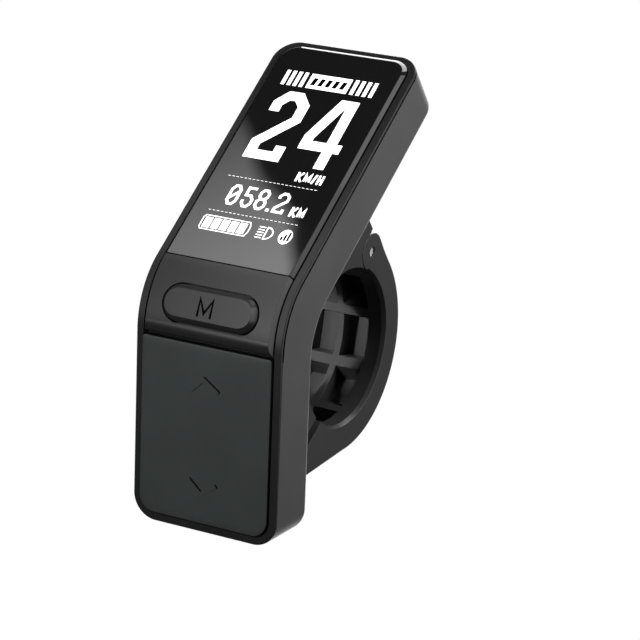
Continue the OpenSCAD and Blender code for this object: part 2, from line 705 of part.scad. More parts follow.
// Rocker key
chevron_w = 6.4;
chevron_h = 2.6;
chevron_band = 0.7;
chevron_at_share = 0.75;
module chevron() {
    polygon([[-chevron_w / 2, 0], [0, chevron_h], [chevron_w / 2, 0], [chevron_w / 2, chevron_band],
        [0, chevron_h + chevron_band], [-chevron_w / 2, chevron_band]]);
}
module rocker_key() color("#323635") at_lower() difference() {
    union() {
        hull() {
            plate(rocker_w, -rocker_rise + rocker_soft_h, rocker_under_d, rocker_z0, rocker_z1,
                rocker_corner_r, rocker_top_r, $fn = 32);
            plate(rocker_w - 2 * rocker_soft_w, -rocker_rise, 0, rocker_z0 + rocker_soft_w,
                rocker_z1 - rocker_soft_w, rocker_corner_r - rocker_soft_w, rocker_top_r, $fn = 32);
        }
        for (side = [-1, 1]) {
            translate([0, 0, rocker_mid + side * rocker_arm])
                rod(rocker_post_r, 0, plunger_top_d - touch_gap);
            translate([side * lug_x - lug_t / 2, 0, rocker_mid - lug_h / 2])
                cube([lug_t, rocker_pin_depth + lug_h / 2, lug_h]);
        }
        for (side = [-1, 1])
            translate([0, -rocker_rise, rocker_mid + side * rocker_arm * chevron_at_share])
                mirror([0, 0, side < 0 ? 1 : 0]) rotate([90, 0, 0]) translate([0, 0, -over / 10])
                    linear_extrude(chevron_t + over / 10) chevron();
    }
    translate([0, rocker_pin_depth, rocker_mid]) pin_x(rocker_pin_d / 2 + run_gap, -body_w, body_w);
}
module rocker_pin() color("#b9bcc0") at_lower() translate([0, rocker_pin_depth, rocker_mid])
    pin_x(rocker_pin_d / 2, -rocker_pin_len / 2, rocker_pin_len / 2);

// Switch board behind the rocker
module switch_board() color("#1f5a36") at_lower() difference() {
    slab(switch_board_w, switch_board_d, switch_back_d, switch_board_z0, switch_board_z1);
    both_sides() for (z = switch_screw_z) translate([switch_screw_x, 0, z])
        rod(board_screw_r + hole_gap, 0, reach);
}
module key_switches() color("#2a2a2a") at_lower() for (side = [-1, 1])
    translate([0, 0, rocker_mid + side * rocker_arm]) switch_case(key_switch_d);
module key_plunger(side) at_lower() translate([0, 0, rocker_mid + side * rocker_arm])
    rod(plunger_r, plunger_top_d, plunger_top_d + plunger_len);
module up_plunger() color("#c9b27c") key_plunger(1);
module down_plunger() color("#c9b27c") key_plunger(-1);
module switch_board_screws() color("#8a8d90") at_lower() both_sides() for (z = switch_screw_z)
    translate([switch_screw_x, 0, z]) small_screw(switch_back_d);
gasket_w = 8;
gasket_band = 1.2;
module switch_gasket() color("#2b2b2b") at_lower() for (side = [-1, 1])
    translate([0, 0, rocker_mid + side * rocker_arm]) difference() {
        slab(gasket_w, well_back_d, switch_board_d, -gasket_w / 2, gasket_w / 2);
        slab(gasket_w - 2 * gasket_band, 0, reach,
            -gasket_w / 2 + gasket_band, gasket_w / 2 - gasket_band);
    }
harness_w = 9;
harness_h = 5;
harness_t = 3.2;
harness_wall = 1.2;
module harness_socket() color("#ece7d8") at_lower() difference() {
    slab(harness_w, switch_back_d, switch_back_d + harness_t,
        switch_board_z0, switch_board_z0 + harness_h);
    slab(harness_w - 2 * harness_wall, switch_back_d + harness_wall / 2,
        switch_back_d + harness_t - harness_wall / 2,
        switch_board_z0 - over, switch_board_z0 + harness_h - harness_wall);
}

// Handlebar clamp, in the side view
jaw_top_s = 38.5;
jaw_top_d = 22;
notch_reach = 4.46;
notch_angle = 98;
mouth_angle = 114.3;
end_row_angle = 92;
base_head_h = 1.9;
// How far the strap's flats sit inside the rounds that they meet
flat_in = 0.03;
module about_x() rotate([90, 0, 90]) children();
// A point in the side view, along the slit and across it
function slit_pt(along, across) = along * slit_dir - across * slit_up;
block_end = block_start + block_len;
sole_across = (ring_r - flat_in - block_end * cos(slit_angle - sole_angle))
    / cos(slit_angle + 90 - sole_angle);
module strap_side() {
    // Ring from the hinge round the rear to the end block
    intersection() {
        circle(ring_r, $fn = 2 * $fn);
        polygon([[0, 0], polar(reach, (slit_angle + sole_angle) / 2 - 180), polar(reach, 315),
            polar(reach, 0), polar(reach, pin_angle)]);
    }
    polygon([polar(bar_r / 2, outer_angle), polar(ring_r - flat_in, outer_angle),
        pin_c + polar(knuckle_r - flat_in, outer_angle), pin_c]);
    translate(pin_c) circle(knuckle_r);
    polygon([slit_pt(bar_r / 2, slit_drop + slit_w / 2), slit_pt(block_end, slit_drop + slit_w / 2),
        slit_pt(block_end, sole_across), polar(ring_r - flat_in, sole_angle),
        polar(bar_r / 2, sole_angle)]);
}
module jaw_side() difference() {
    polygon([[0, 0], pin_c, pin_c + polar(notch_reach, notch_angle), upper_pt(jaw_top_d, jaw_top_s),
        upper_pt(upper_depth / 2, jaw_top_s), rear_corner(lower_depth / 2),
        slit_pt(2 * bar_r, slit_drop - slit_w / 2), slit_pt(bar_r / 2, slit_drop - slit_w / 2)]);
    ahead(0);
}
lip_step = 0.1;
pocket_w = ring_w / 2 - lip_w - mid_rib_w / 2;
module pocket(a0, a1) {
    half = (bar_r + rib_drop) * sin((a1 - a0) / 2);
    both_sides() rotate([(a0 + a1) / 2 - 90, 0, 0]) translate([mid_rib_w / 2, -half, bar_r - 3 * over])
        cube([pocket_w, 2 * half, ring_r - skin_t - bar_r + 3 * over]);
}
rib_half_angle = asin(rib_w / 2 / bar_r);
module clamp_strap() color("#4a4a4a") difference() {
    along_x(ring_w) strap_side();
    pin_x(bar_r, -ring_w, ring_w);
    // Slot for the jaw's knuckle, and the pin's bore
    translate([0, pin_c.x, pin_c.y]) {
        pin_x(knuckle_r + part_gap, -ear_w / 2 - part_gap / 2, ear_w / 2 + part_gap / 2);
        pin_x(pin_d / 2 + run_gap, -ring_w, ring_w);
    }
    // Pockets between the ribs, and the chamfer at the bore's mouths
    pin_x(bar_r + rib_drop, -ring_w / 2 + lip_w - lip_step, ring_w / 2 - lip_w + lip_step);
    for (n = [0 : 2]) pocket(rib_angle - n * rib_pitch + rib_half_angle,
        rib_angle - (n - 1) * rib_pitch - rib_half_angle);
    pocket(-end_row_angle, rib_angle - 2 * rib_pitch - rib_half_angle);
    both_sides() about_x() rotate([0, 0, -mouth_angle])
        rotate_extrude(angle = mouth_angle + pin_angle)
            polygon([[bar_r - over, ring_w / 2 - mouth_len], [bar_r, ring_w / 2 - mouth_len],
                [bar_r + mouth_w, ring_w / 2], [bar_r + mouth_w, ring_w / 2 + over],
                [bar_r - over, ring_w / 2 + over]]);
    // Screw hole and its counterbore
    at_screw() {
        translate([0, 0, -reach / 4]) cylinder(h = reach / 4, r = clamp_screw_r + hole_gap);
        translate([0, 0, -screw_seat - reach / 4]) cylinder(h = reach / 4, r = head_r + hole_gap);
    }
}
module clamp_base() color("#4a4a4a") difference() {
    union() {
        along_x(ring_w) jaw_side();
        translate([0, pin_c.x, pin_c.y]) pin_x(knuckle_r, -ear_w / 2, ear_w / 2);
    }
    pin_x(bar_r, -ring_w, ring_w);
    translate([0, pin_c.x, pin_c.y]) {
        both_sides() pin_x(knuckle_r + part_gap, ear_w / 2, ring_w);
        pin_x(pin_d / 2 + thread_gap, -ring_w, ring_w);
    }
    at_screw() {
        translate([0, 0, -reach / 8]) cylinder(h = reach / 8 + insert_len / 2, r = insert_r + thread_gap);
        cylinder(h = screw_tip + seat_gap, r = clamp_screw_r + seat_gap);
    }
    at_base_screws() rod(base_screw_r + thread_gap, -over, base_screw_len - wall + part_gap);
}
module clamp_base_screws() color("#8a8d90") at_base_screws() difference() {
    union() {
        rod(base_screw_r, -wall, base_screw_len - wall);
        rod(base_screw_r * 1.8, -wall - base_head_h, -wall);
    }
    rod(base_screw_r * 0.8, -wall - base_head_h - over, -wall - base_head_h / 2);
}
module hinge_pin() color("#2c2c2e") translate([0, pin_c.x, pin_c.y])
    pin_x(pin_d / 2, -ring_w / 2 + pin_recess, ring_w / 2 - pin_recess);
module clamp_screw() color("#77797c") at_screw() difference() {
    union() {
        translate([0, 0, -screw_seat]) cylinder(h = clamp_screw_len, r = clamp_screw_r);
        translate([0, 0, -screw_seat - head_h]) cylinder(h = head_h, r = head_r);
    }
    translate([0, 0, -screw_seat - head_h - over]) cylinder(h = over + head_h * 0.6, r = key_r, $fn = 6);
}
module screw_insert() color("#b08d4a") at_screw() difference() {
    translate([0, 0, -insert_len / 2]) cylinder(h = insert_len, r = insert_r);
    translate([0, 0, -insert_len]) cylinder(h = 2 * insert_len, r = clamp_screw_r + insert_gap);
}

rear_shell();
front_bezel();
case_seal();
display_lens();
lens_tape();
display_panel();
backlight();
display_carrier();
display_flex();
main_board();
processor();
wireless_module();
power_parts();
main_board_screws();
link_flex();
flex_sockets();
mode_panel();
mode_button();
mode_plunger();
mode_switch();
mode_board();
mode_board_screws();
rocker_key();
rocker_pin();
switch_board();
key_switches();
up_plunger();
down_plunger();
switch_board_screws();
switch_gasket();
harness_socket();
cable_grommet();
case_screws();
clamp_base();
clamp_base_screws();
hinge_pin();
clamp_strap();
clamp_screw();
screw_insert();
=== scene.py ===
"""Looks of the handlebar display: dressed housing, lens with its screen, keys and clamp.

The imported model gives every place. Lengths below are in millimetres, as in the
part's source, and turn into metres where a mesh is made.
"""
import json
import math

import bmesh
import bpy
from mathutils import Matrix, Vector


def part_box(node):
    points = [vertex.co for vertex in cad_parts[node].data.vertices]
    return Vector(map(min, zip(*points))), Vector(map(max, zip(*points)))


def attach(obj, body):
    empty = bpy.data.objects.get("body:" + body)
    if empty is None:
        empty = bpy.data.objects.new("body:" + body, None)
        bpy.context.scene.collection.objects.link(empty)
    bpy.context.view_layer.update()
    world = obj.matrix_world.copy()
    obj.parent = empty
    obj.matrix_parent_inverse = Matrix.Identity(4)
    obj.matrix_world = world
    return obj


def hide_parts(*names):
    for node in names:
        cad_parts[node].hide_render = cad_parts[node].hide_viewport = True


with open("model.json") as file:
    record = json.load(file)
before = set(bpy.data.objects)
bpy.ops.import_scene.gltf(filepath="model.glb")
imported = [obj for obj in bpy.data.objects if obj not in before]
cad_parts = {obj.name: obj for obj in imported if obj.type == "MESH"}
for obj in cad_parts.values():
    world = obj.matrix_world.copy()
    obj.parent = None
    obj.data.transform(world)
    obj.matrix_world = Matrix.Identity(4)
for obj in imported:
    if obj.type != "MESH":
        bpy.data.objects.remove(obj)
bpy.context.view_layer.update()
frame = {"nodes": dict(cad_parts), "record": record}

MM = 0.001

# Driving dimensions, the rest comes from the frame
LEAN = math.radians(52)
LOWER_LEN = 46.1
UPPER_LEN = 64.7
BEND_R = 17.0
CORNER_R = 5.0
FACE_RISE = 0.93
LENS_CHAMFER = 0.55
ROCKER_FACE = 0.8
MODE_ANGLE = math.radians(22)


def span(node, axis):
    """The lowest and highest place of a CAD node along one axis, in millimetres."""
    low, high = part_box(node)
    return low[axis] / MM, high[axis] / MM


FRONT_Y = span("front_bezel", 1)[0]
BOTTOM_Z = span("front_bezel", 2)[0]
APEX_Z = BOTTOM_Z + LOWER_LEN
BODY_W = span("rear_shell", 0)[1] * 2
LENS_HALF = span("display_lens", 0)[1]
ROCKER_HALF = span("rocker_key", 0)[1]
ROCKER_Z0, ROCKER_Z1 = [z - BOTTOM_Z for z in span("rocker_key", 2)]
BEND_END = BEND_R * math.tan(LEAN / 2)
BEND_Y = FRONT_Y + BEND_R
BEND_Z = APEX_Z - BEND_END


def lower(x, d, z):
    """A point on the lower limb: across, depth below the rim, height from the bottom."""
    return Vector((x, FRONT_Y + d, BOTTOM_Z + z)) * MM


def upper(x, d, s):
    """A point on the upper limb: across, depth below the rim, way up from the bend's corner."""
    y = FRONT_Y + s * math.sin(LEAN) + d * math.cos(LEAN)
    z = APEX_Z + s * math.cos(LEAN) - d * math.sin(LEAN)
    return Vector((x, y, z)) * MM


def on_mode(x, d, t):
    """A point by the mode button: across, depth below the rim's tangent plane, way up."""
    r = BEND_R - d
    y = BEND_Y - r * math.cos(MODE_ANGLE) + t * math.sin(MODE_ANGLE)
    z = BEND_Z + r * math.sin(MODE_ANGLE) + t * math.cos(MODE_ANGLE)
    return Vector((x, y, z)) * MM


# Materials
CLOUD_SCALE, CLOUD_DETAIL = 90.0, 4.0
CLOUD_STOPS = (0.3, 0.7)
CLOUD_SHADES = (0.93, 1.07)
GRAIN_SCALE = 9000.0
GRAIN_DEPTH = 0.00002
SMOOTHEST = 0.02
PRINT_SCALE = 400.0
PRINT_ROUGH = 0.4
PRINT_SHADE = 0.96


def node_tree(name):
    """A new material with its nodes, its links and its shader."""
    material = bpy.data.materials.new(name)
    material.use_nodes = True
    nodes = material.node_tree.nodes
    return material, nodes, material.node_tree.links, nodes["Principled BSDF"]


def noise(nodes, links, scale, detail=2.0):
    """A cloudy pattern that is fixed to its object."""
    where = nodes.new("ShaderNodeTexCoord")
    cloud = nodes.new("ShaderNodeTexNoise")
    cloud.inputs["Scale"].default_value = scale
    cloud.inputs["Detail"].default_value = detail
    links.new(where.outputs["Object"], cloud.inputs["Vector"])
    return cloud


def plastic(name, color, rough, grain=0.0, specular=0.5, metal=0.0, spread=0.06):
    """Moulded plastic, rubber or metal: a fine grain in the surface and uneven gloss."""
    material, nodes, links, shader = node_tree(name)
    shader.inputs["Metallic"].default_value = metal
    shader.inputs["Specular IOR Level"].default_value = specular
    cloud = noise(nodes, links, CLOUD_SCALE, CLOUD_DETAIL)
    gloss = nodes.new("ShaderNodeMapRange")
    gloss.inputs["To Min"].default_value = max(SMOOTHEST, rough - spread)
    gloss.inputs["To Max"].default_value = min(1.0, rough + spread)
    links.new(cloud.outputs["Fac"], gloss.inputs["Value"])
    links.new(gloss.outputs["Result"], shader.inputs["Roughness"])
    ramp = nodes.new("ShaderNodeValToRGB")
    for stop, at, shade in zip(ramp.color_ramp.elements, CLOUD_STOPS, CLOUD_SHADES):
        stop.position = at
        stop.color = (*[min(1.0, c * shade) for c in color], 1)
    links.new(cloud.outputs["Fac"], ramp.inputs["Fac"])
    links.new(ramp.outputs["Color"], shader.inputs["Base Color"])
    if grain:
        speck = noise(nodes, links, GRAIN_SCALE)
        bump = nodes.new("ShaderNodeBump")
        bump.inputs["Strength"].default_value = grain
        bump.inputs["Distance"].default_value = GRAIN_DEPTH
        links.new(speck.outputs["Fac"], bump.inputs["Height"])
        links.new(bump.outputs["Normal"], shader.inputs["Normal"])
    return material


def glowing(name, color, strength):
    """A lit or brightly printed mark."""
    material, nodes, links, shader = node_tree(name)
    shader.inputs["Base Color"].default_value = (*color, 1)
    shader.inputs["Roughness"].default_value = PRINT_ROUGH
    shader.inputs["Emission Strength"].default_value = strength
    cloud = noise(nodes, links, PRINT_SCALE)
    ramp = nodes.new("ShaderNodeValToRGB")
    for stop, shade in zip(ramp.color_ramp.elements, (PRINT_SHADE, 1.0)):
        stop.color = (*[c * shade for c in color], 1)
    links.new(cloud.outputs["Fac"], ramp.inputs["Fac"])
    links.new(ramp.outputs["Color"], shader.inputs["Emission Color"])
    return material


SURFACES = {
    "shell_grey": dict(color=(0.055, 0.055, 0.055), rough=0.42, grain=0.25),
    "bezel_black": dict(color=(0.013, 0.013, 0.013), rough=0.35, grain=0.1, specular=0.35),
    "gloss_black": dict(color=(0.006, 0.006, 0.006), rough=0.06, spread=0.02),
    "key_grey": dict(color=(0.0295, 0.0343, 0.0332), rough=0.55, grain=0.35),
    "mode_gloss": dict(color=(0.0155, 0.0155, 0.0155), rough=0.3, grain=0.06),
    "clamp_nylon": dict(color=(0.024, 0.024, 0.024), rough=0.34, grain=0.2),
    "seal_rubber": dict(color=(0.015, 0.015, 0.015), rough=0.7, grain=0.4),
    "tape": dict(color=(0.01, 0.01, 0.01), rough=0.6),
    "display_glass": dict(color=(0.02, 0.025, 0.03), rough=0.1),
    "light_guide": dict(color=(0.8, 0.8, 0.76), rough=0.25),
    "frame_white": dict(color=(0.75, 0.75, 0.72), rough=0.45),
    "board_green": dict(color=(0.012, 0.11, 0.045), rough=0.3),
    "flex_amber": dict(color=(0.5, 0.23, 0.04), rough=0.35),
    "chip_black": dict(color=(0.015, 0.015, 0.016), rough=0.4, grain=0.3),
    "shield_steel": dict(color=(0.55, 0.55, 0.57), rough=0.3, metal=1.0),
    "screw_steel": dict(color=(0.4, 0.4, 0.42), rough=0.32, metal=1.0),
    "pin_steel": dict(color=(0.6, 0.6, 0.62), rough=0.3, metal=0.3),
    "brass": dict(color=(0.7, 0.48, 0.18), rough=0.3, metal=1.0),
    "plunger_tan": dict(color=(0.5, 0.42, 0.25), rough=0.4),
    "connector_cream": dict(color=(0.75, 0.7, 0.6), rough=0.4),
    # Painted shade: near black, for surfaces that stand in shadow (the shell's edge in the shadow
    # line, the rocker key's sides)
    "painted_shade_black": dict(color=(0.003, 0.003, 0.003), rough=0.6, specular=0.2),
}
LOOKS = {name: plastic(name, **surface) for name, surface in SURFACES.items()}
WHITE_PRINT = glowing("white_print", (1.0, 1.0, 1.0), 0.95)
# Dark print, also used for painted shade: the lines beside the rocker's chevrons
DARK_PRINT_AND_SHADE = plastic("dark_print_and_shade", (0.002, 0.002, 0.002), 0.8, specular=0.0)

SLOT_OF = {row["node"]: row["material_slot"] for row in frame["record"]["subparts"]}
for node, obj in frame["nodes"].items():
    obj.data.materials.clear()
    obj.data.materials.append(LOOKS[SLOT_OF[node]])

# Meshes
SHARP = 30
FLAT = 0.4
SAME_POINT = 0.000002


def link(name, mesh, material, body):
    """An object from a mesh, on its body and with its slot."""
    obj = bpy.data.objects.new(name, mesh)
    bpy.context.scene.collection.objects.link(obj)
    mesh.materials.append(material)
    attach(obj, body)
    return obj


def finish_mesh(name, bm, sharp=SHARP):
    """A smooth shaded mesh, with its edges sharp from an angle in degrees."""
    bmesh.ops.recalc_face_normals(bm, faces=bm.faces)
    mesh = bpy.data.meshes.new(name)
    bm.to_mesh(mesh)
    bm.free()
    mesh.shade_smooth()
    mesh.set_sharp_from_angle(angle=math.radians(sharp))
    return mesh


def dressed(node, body, width, segments=3, weigh=None, move=None):
    """A copy of a CAD node with rounded edges, which stands for it.

    weigh gives each sharp edge its share of the width, and move a new place for each point.
    """
    bm = bmesh.new()
    bm.from_mesh(frame["nodes"][node].data)
    bmesh.ops.remove_doubles(bm, verts=bm.verts, dist=SAME_POINT)
    bmesh.ops.dissolve_limit(bm, angle_limit=math.radians(FLAT), verts=bm.verts, edges=bm.edges)
    if weigh:
        weights = bm.edges.layers.float.new("bevel_weight_edge")
        for edge in bm.edges:
            if edge.calc_face_angle(0) > math.radians(SHARP):
                edge[weights] = weigh(*[vert.co / MM for vert in edge.verts])
    if move:
        for vert in bm.verts:
            vert.co = move(vert.co / MM) * MM
    mesh = finish_mesh(node + "_dressed", bm)
    if "custom_normal" in mesh.attributes:
        mesh.attributes.remove(mesh.attributes["custom_normal"])
    slot = SLOT_OF[node]
    obj = link(node + "_dressed", mesh, LOOKS[slot], body)
    bevel = obj.modifiers.new("edges", "BEVEL")
    bevel.width = width * MM
    bevel.segments = segments
    bevel.limit_method = "WEIGHT" if weigh else "ANGLE"
    bevel.angle_limit = math.radians(SHARP)
    bevel.harden_normals = True
    bevel.use_clamp_overlap = False
    bevel.loop_slide = False
    bevel.miter_outer = "MITER_ARC"
    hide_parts(node)


def rounded_outline(x0, x1, z0, z1, r_low, r_top, steps=20):
    """Points round a rectangle with rounded corners, always the same count."""
    points = []
    corners = [(x1 - r_low, z0 + r_low, -90, r_low), (x1 - r_top, z1 - r_top, 0, r_top),
               (x0 + r_top, z1 - r_top, 90, r_top), (x0 + r_low, z0 + r_low, 180, r_low)]
    for cx, cz, start, r in corners:
        for n in range(steps + 1):
            a = math.radians(start + 90 * n / steps)
            points.append((cx + r * math.cos(a), cz + r * math.sin(a)))
    return points


def ring(bm, place, points, depth):
    """Mesh points at one depth, from a list of (across, up)."""
    return [bm.verts.new(place(x, depth, z)) for x, z in points]


def join_rings(bm, a, b):
    """Faces between two rings of as many points."""
    for n in range(len(a)):
        m = (n + 1) % len(a)
        bm.faces.new((a[n], a[m], b[m], b[n]))


def stack(name, outline, levels, place, material, body, top=True, bottom=True, sharp=SHARP):
    """A plate built from rings: outline(inset) gives the points, levels are (inset, depth)."""
    bm = bmesh.new()
    rings = [ring(bm, place, outline(inset), depth) for inset, depth in levels]
    for a, b in zip(rings, rings[1:]):
        join_rings(bm, a, b)
    if bottom:
        bm.faces.new(rings[0][::-1])
    if top:
        bm.faces.new(rings[-1])
    return link(name, finish_mesh(name, bm, sharp), material, body)


def marks(name, polygons, place, low, high, material, body):
    """Flat marks with a little height: each polygon is a list of (across, up)."""
    bm = bmesh.new()
    for polygon in polygons:
        base = ring(bm, place, polygon, low)
        cap = ring(bm, place, polygon, high)
        join_rings(bm, base, cap)
        bm.faces.new(base[::-1])
        bm.faces.new(cap)
    link(name, finish_mesh(name, bm), material, body)


def block(x0, z0, x1, z1):
    """An upright rectangle."""
    return [(x0, z0), (x1, z0), (x1, z1), (x0, z1)]


def disc(x, z, half_w, half_h, steps=48):
    """A circle or an ellipse."""
    turns = [2 * math.pi * n / steps for n in range(steps)]
    return [(x + half_w * math.cos(a), z + half_h * math.sin(a)) for a in turns]


MITRE_MAX = 2.5
MITRE_LEAST = 0.3


def stroke(points, w, closed=False):
    """Four-sided pieces along a path, mitred where it turns."""
    count = len(points)
    edges = []
    for n in range(count):
        before = points[n - 1] if closed or n else None
        after = points[(n + 1) % count] if closed or n < count - 1 else None
        here = points[n]
        normals = []
        for a, b in ((before, here), (here, after)):
            if a is None or b is None:
                continue
            dx, dz = b[0] - a[0], b[1] - a[1]
            length = math.hypot(dx, dz)
            normals.append((-dz / length, dx / length))
        if len(normals) == 1:
            nx, nz = normals[0]
            grow = 1.0
        else:
            nx, nz = normals[0][0] + normals[1][0], normals[0][1] + normals[1][1]
            size = math.hypot(nx, nz)
            nx, nz = nx / size, nz / size
            along = nx * normals[0][0] + nz * normals[0][1]
            grow = min(MITRE_MAX, 1 / max(MITRE_LEAST, along))
        ox, oz = nx * w / 2 * grow, nz * w / 2 * grow
        edges.append(((here[0] + ox, here[1] + oz), (here[0] - ox, here[1] - oz)))
    pieces = []
    for n in range(count if closed else count - 1):
        a, b = edges[n], edges[(n + 1) % count]
        pieces.append([a[0], b[0], b[1], a[1]])
    return pieces


# Each sign is a list of paths on a unit box, and whether the path closes
SIGNS = {
    "0": [([(0, .2), (0, .8), (.3, 1), (.7, 1), (1, .8), (1, .2), (.7, 0), (.3, 0)], True),
          ([(.08, .3), (.92, .7)], False)],
    "2": [([(0, .72), (0, .86), (.3, 1), (.68, 1), (1, .86), (1, .63), (0, .2), (0, 0), (1, 0),
            (1, .18)], False)],
    "4": [([(0, .28), (0, .42), (.5, 1), (.98, 1)], False), ([(.81, -.07), (.81, .95)], False),
          ([(-.17, .28), (1.17, .28)], False)],
    "5": [([(1, 1), (.08, 1), (.08, .6), (.65, .6), (1, .4), (1, .18), (.7, 0), (.3, 0), (0, .18),
            (0, .33)], False)],
    "8": [([(.3, .52), (.05, .66), (.05, .86), (.3, 1), (.7, 1), (.95, .86), (.95, .66),
            (.7, .52)], True),
          ([(.3, .52), (0, .38), (0, .16), (.3, 0), (.7, 0), (1, .16), (1, .38), (.7, .52)], True)],
    "K": [([(0, -.2), (0, 1.2)], False), ([(1, 1.2), (.2, .5), (1.05, -.2)], False)],
    "M": [([(0, -.05), (0, 1.05), (.47, .2), (1, 1.05), (1, -.05)], False)],
    "H": [([(0, -.2), (0, 1.2)], False), ([(1, -.2), (1, 1.2)], False), ([(0, .5), (1, .5)], False)],
    "/": [([(0, -.2), (1, 1.2)], False)],
}


def glyph(sign, x, z, w, h, t):
    """A sign whose strokes fill a box of a width and a height."""
    pieces = []
    for path, closed in SIGNS[sign]:
        points = [(x + t / 2 + u * (w - t), z + t / 2 + v * (h - t)) for u, v in path]
        pieces += stroke(points, t, closed)
    return pieces


# Where a point lies in the bent housing, and how near a place counts as on it
NEAR = 0.1
SEAM_NEAR = 0.04
RIM_NEAR = 0.05


def depth(at):
    """How deep a point lies behind the rim's front face."""
    above, back = at.z - BEND_Z, BEND_Y - at.y
    if above <= 0:
        return at.y - FRONT_Y
    if math.atan2(above, back) >= LEAN:
        return (at.y - FRONT_Y) * math.cos(LEAN) - (at.z - APEX_Z) * math.sin(LEAN)
    return BEND_R - math.hypot(above, back)


def inside(at):
    """How far a point lies inside the housing's outline, seen square to the limb."""
    if at.z > BEND_Z:
        end = UPPER_LEN - (at.y - FRONT_Y) * math.sin(LEAN) - (at.z - APEX_Z) * math.cos(LEAN)
    else:
        end = at.z - BOTTOM_Z
    side = BODY_W / 2 - abs(at.x)
    if side < CORNER_R and end < CORNER_R:
        return CORNER_R - math.hypot(CORNER_R - side, CORNER_R - end)
    return min(side, end)


def inward(at):
    """The way into the housing, square to its front."""
    above, back = at.z - BEND_Z, BEND_Y - at.y
    if above <= 0:
        return Vector((0, 1, 0))
    if math.atan2(above, back) < LEAN:
        return Vector((0, back, -above)).normalized()
    return Vector((0, math.cos(LEAN), -math.sin(LEAN)))


# Rear shell and front bezel, with the shadow line between them
REAR_ROUND = 1.4
REAR_FACE_D = 11.1  # any point deeper than this belongs to the rear face
REAR_OUT = 0.3
RIM_ROUND = 0.3
RIM_T = 0.5  # the rim's thickness, and what is left of it at the shadow line
RIM_SIDE = 0.36
SKIRT_IN = 0.95  # how far inside the outline the rim's skirt goes down
SEAM_D = 0.75  # depth of the shell's front edge, and how far that goes back
SEAM_BACK = 0.13
# The black line is painted shadow, a near-black sheet over the grey edge where the shadow line is in
# shade
SEAM_LIFT = 0.03  # how far the black line stands in front of the edge
FLANK = 0.5  # a face whose normal points further sideways than this isn't part of the edge


def shell_weight(a, b):
    """Rounds the rear outline only."""
    outside = max(inside(a), inside(b)) < NEAR
    return 1.0 if outside and min(depth(a), depth(b)) > REAR_FACE_D else 0.0


def bezel_weight(a, b):
    """Rounds the rim's outer front edge only."""
    outside = max(inside(a), inside(b)) < NEAR
    return 1.0 if outside and max(depth(a), depth(b)) < NEAR else 0.0


def thin_rim(at):
    """Opens the shadow line behind the rim, from the bend upwards."""
    if at.z > BEND_Z and inside(at) < SKIRT_IN - NEAR and abs(depth(at) - RIM_T) < RIM_NEAR:
        return at - inward(at) * (RIM_T - RIM_SIDE)
    return at


def full_edge(at):
    """Sets the shell's edge back behind the shadow line, and its rear face out for the rounding."""
    if at.z > BEND_Z and inside(at) < NEAR and abs(depth(at) - SEAM_D) < SEAM_NEAR:
        return at + inward(at) * SEAM_BACK
    if depth(at) > REAR_FACE_D:
        return at + inward(at) * REAR_OUT
    return at


def seam_painted_shade():
    """A painted shadow: a black sheet on the rear shell's front edge at the bottom of the shadow
    line, set back with it from the bend upwards.
    """
    bm = bmesh.new()
    bm.from_mesh(frame["nodes"]["rear_shell"].data)
    far = [face for face in bm.faces if abs(face.normal.x) > FLANK
           or any(abs(depth(vert.co / MM) - SEAM_D) > SEAM_NEAR for vert in face.verts)]
    bmesh.ops.delete(bm, geom=far, context="FACES")
    for vert in bm.verts:
        at = vert.co / MM
        vert.co += inward(at) * ((SEAM_BACK if at.z > BEND_Z else 0) - SEAM_LIFT) * MM
    link("seam_painted_shade", finish_mesh("seam_painted_shade", bm), LOOKS["painted_shade_black"], "housing")


seam_painted_shade()
dressed("rear_shell", "housing", REAR_ROUND, segments=7, weigh=shell_weight, move=full_edge)
dressed("front_bezel", "housing", RIM_ROUND, weigh=bezel_weight, move=thin_rim)

# Mode panel
PANEL_ROUND = 0.06
SIDE_LINE = 0.1
PANEL_Z = BEND_Z + 0.12
ROLL_CAD = 1.2  # height of the roll in the CAD and in the photo, and where the stretch ends
ROLL_SEEN = 2.1
ROLL_END = 2.6
ROLL_DEEP = 0.5


def long_roll(at):
    """Stretches the panel's rolled lower edge up the front, and opens the line at its sides."""
    x = at.x * (LENS_HALF - SIDE_LINE) / LENS_HALF
    up = at.z - PANEL_Z
    if 0 < up < ROLL_CAD:
        return Vector((x, at.y, PANEL_Z + up * ROLL_SEEN / ROLL_CAD))
    if ROLL_CAD <= up < ROLL_END and at.y < FRONT_Y + ROLL_DEEP:
        share = (up - ROLL_CAD) / (ROLL_END - ROLL_CAD)
        return Vector((x, at.y, PANEL_Z + ROLL_SEEN + share * (ROLL_END - ROLL_SEEN)))
    return Vector((x, at.y, at.z))


dressed("mode_panel", "housing", PANEL_ROUND, segments=2, move=long_roll)

# Clamp
BASE_ROUND = 0.2
STRAP_ROUND = 0.55
RIB_SHARE = 0.15
KNUCKLE_SHARE = 0.3
RING_HALF = 10.4
RING_R = 21.7
KNUCKLE_R = 3.85
RING_SIDE_NEAR = 0.01
RING_NEAR = 0.2
PIN_R = 19.66
PIN_TURN = math.radians(62.6)
PIN_AT = (PIN_R * math.cos(PIN_TURN), PIN_R * math.sin(PIN_TURN))


def strap_weight(a, b):
    """Wide rounding on the ring's outer edges, less on the knuckle, least on all others."""
    if min(abs(a.x), abs(b.x)) < RING_HALF - RING_SIDE_NEAR:
        return RIB_SHARE
    from_pin = [math.hypot(at.y - PIN_AT[0], at.z - PIN_AT[1]) for at in (a, b)]
    if all(abs(r - KNUCKLE_R) < NEAR for r in from_pin):
        return KNUCKLE_SHARE
    from_bar = min(math.hypot(at.y, at.z) for at in (a, b))
    return 1.0 if from_bar > RING_R - RING_NEAR else RIB_SHARE


dressed("clamp_base", "housing", BASE_ROUND)
dressed("clamp_strap", "strap", STRAP_ROUND, segments=4, weigh=strap_weight)

